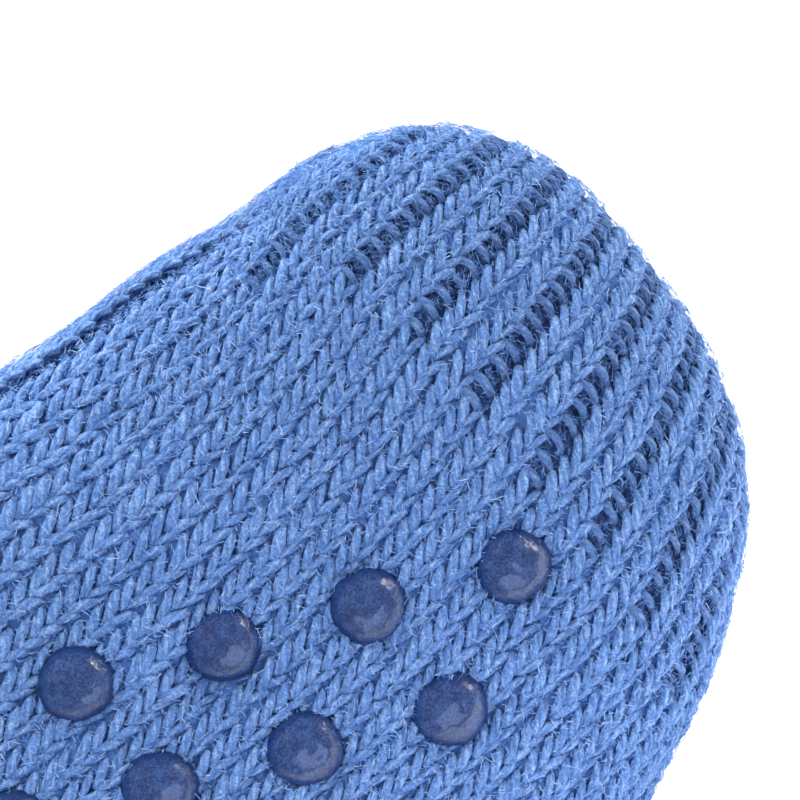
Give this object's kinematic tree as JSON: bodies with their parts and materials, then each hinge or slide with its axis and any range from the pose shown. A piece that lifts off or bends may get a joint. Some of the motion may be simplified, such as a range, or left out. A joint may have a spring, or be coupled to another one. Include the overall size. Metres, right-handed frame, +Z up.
{
  "type": "slipper sock",
  "caption": "Chunky knitted slipper sock on its side: rib leg, instep and toe, plain knit sole with round silicone grip dots, open cuff.",
  "frame": {"origin": "middle of the sock's box at the floor, with the sock lying on its outer side", "axes": "+X along the foot to the toe, -Y the way the sole faces, +Y up the leg to the cuff, +Z up from the floor across the foot"},
  "size_m": [0.2346, 0.1556, 0.0917],
  "materials": {
    "blue_knit": "mid-blue acrylic yarn, matt with a light fuzz",
    "grip_silicone": "clear dark-blue silicone gel, glossy"
  },
  "bodies": {
    "root": {"knit_body": "blue_knit", "grip_dot_01": "grip_silicone", "grip_dot_02": "grip_silicone", "grip_dot_03": "grip_silicone", "grip_dot_04": "grip_silicone", "grip_dot_05": "grip_silicone", "grip_dot_06": "grip_silicone", "grip_dot_07": "grip_silicone", "grip_dot_08": "grip_silicone", "grip_dot_09": "grip_silicone", "grip_dot_10": "grip_silicone", "grip_dot_11": "grip_silicone", "grip_dot_12": "grip_silicone", "grip_dot_13": "grip_silicone", "grip_dot_14": "grip_silicone", "grip_dot_15": "grip_silicone", "grip_dot_16": "grip_silicone", "grip_dot_17": "grip_silicone", "grip_dot_18": "grip_silicone", "grip_dot_19": "grip_silicone", "grip_dot_20": "grip_silicone", "grip_dot_21": "grip_silicone", "grip_dot_22": "grip_silicone", "grip_dot_23": "grip_silicone", "grip_dot_24": "grip_silicone", "grip_dot_25": "grip_silicone", "grip_dot_26": "grip_silicone", "grip_dot_27": "grip_silicone", "grip_dot_28": "grip_silicone", "grip_dot_29": "grip_silicone", "grip_dot_30": "grip_silicone", "grip_dot_31": "grip_silicone", "grip_dot_32": "grip_silicone", "grip_dot_33": "grip_silicone", "grip_dot_34": "grip_silicone", "grip_dot_35": "grip_silicone", "grip_dot_36": "grip_silicone", "grip_dot_37": "grip_silicone"}
  },
  "joints": []
}
